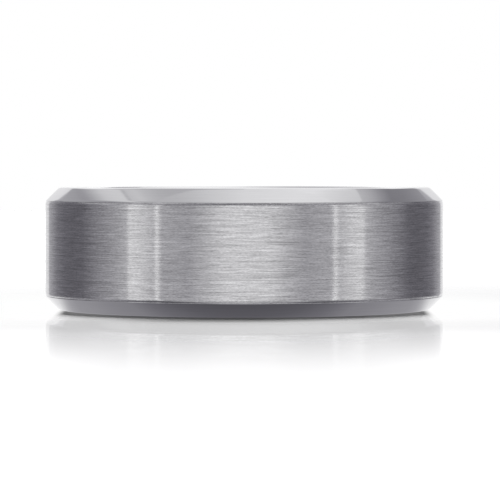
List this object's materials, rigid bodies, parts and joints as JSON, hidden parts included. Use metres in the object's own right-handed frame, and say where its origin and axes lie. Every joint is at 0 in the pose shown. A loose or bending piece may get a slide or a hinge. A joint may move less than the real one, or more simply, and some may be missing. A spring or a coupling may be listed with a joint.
{
  "type": "wedding band",
  "caption": "Plain bevelled wedding band with a satin centre, polished bevelled rims and a comfort-fit bore.",
  "frame": {"origin": "centre of the bore on the plane of the lower flat end, which the band stands on", "axes": "+Z along the finger, through the bore, from the lower end to the upper end; X and Y are alike"},
  "size_m": [0.0228, 0.0228, 0.007],
  "materials": {
    "satin_metal": "satin",
    "polished_rim_metal": "polished",
    "polished_liner_metal": "polished"
  },
  "bodies": {
    "root": {"comfort_fit_liner": "polished_liner_metal", "lower_bevelled_rim": "polished_rim_metal", "satin_centre_band": "satin_metal", "upper_bevelled_rim": "polished_rim_metal"}
  },
  "joints": []
}
